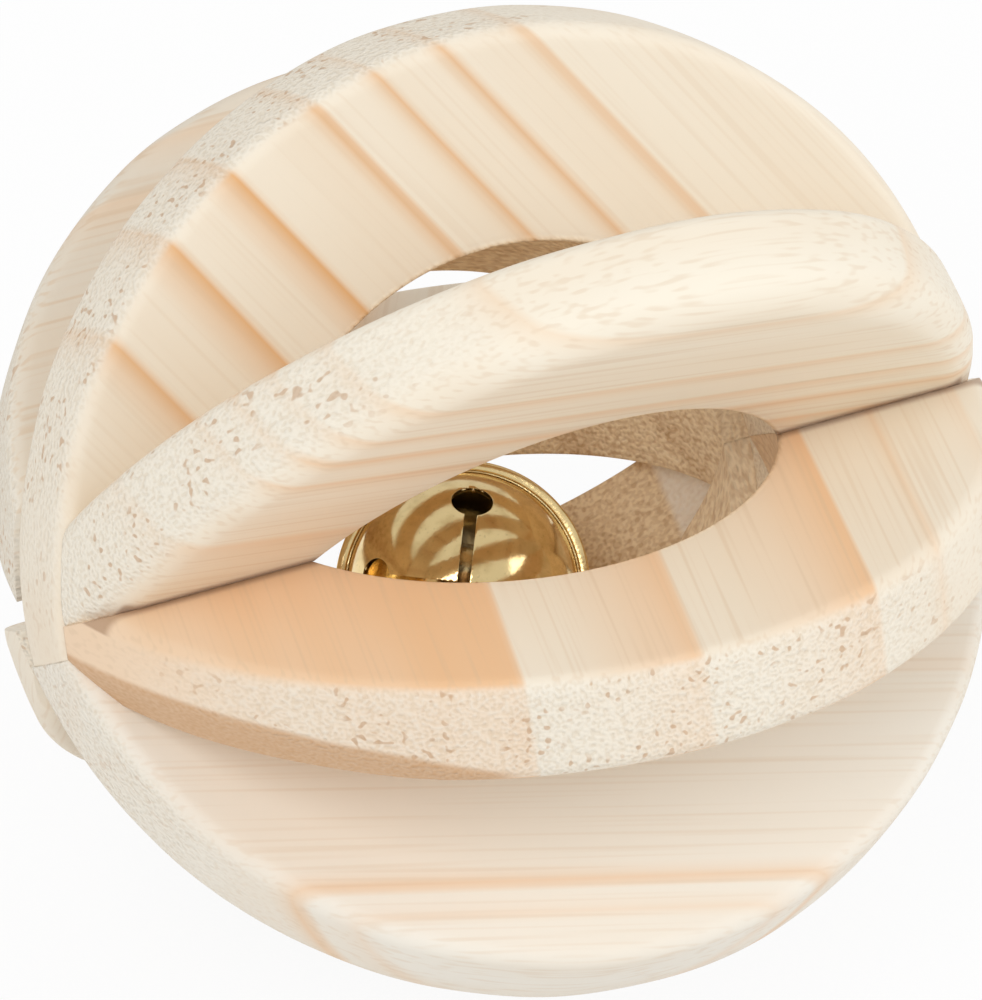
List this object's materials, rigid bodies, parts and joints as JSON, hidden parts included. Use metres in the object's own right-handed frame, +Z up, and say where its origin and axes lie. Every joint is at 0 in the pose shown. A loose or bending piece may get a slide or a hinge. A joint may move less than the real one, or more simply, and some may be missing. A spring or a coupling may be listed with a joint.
{
  "type": "wooden play ball",
  "caption": "Wooden play ball of flat C-shaped pine fins glued round one axis, with open gaps between them and a loose brass rattle bell in the hollow.",
  "frame": {"origin": "centre of the ball, where the axis that the fins stand round crosses the middle plane", "axes": "+X along the axis of the fins, from pole to pole; +Z up, with the ball resting on the rims of fin_1 and fin_8; -Y to the front, where the slotted side of the bell looks out"},
  "size_m": [0.06, 0.0581, 0.0561],
  "materials": {
    "pine": "bare sanded pine, with warm growth rings on the faces and rough end grain on the rims",
    "bell_brass": "polished brass plating",
    "pellet_steel": "plain steel"
  },
  "bodies": {
    "root": {"fin_1": "pine", "fin_2": "pine", "fin_3": "pine", "fin_4": "pine", "fin_5": "pine", "fin_6": "pine", "fin_7": "pine", "fin_8": "pine", "bell_front_shell": "bell_brass", "bell_back_shell": "bell_brass", "bell_pellet": "pellet_steel"}
  },
  "joints": []
}
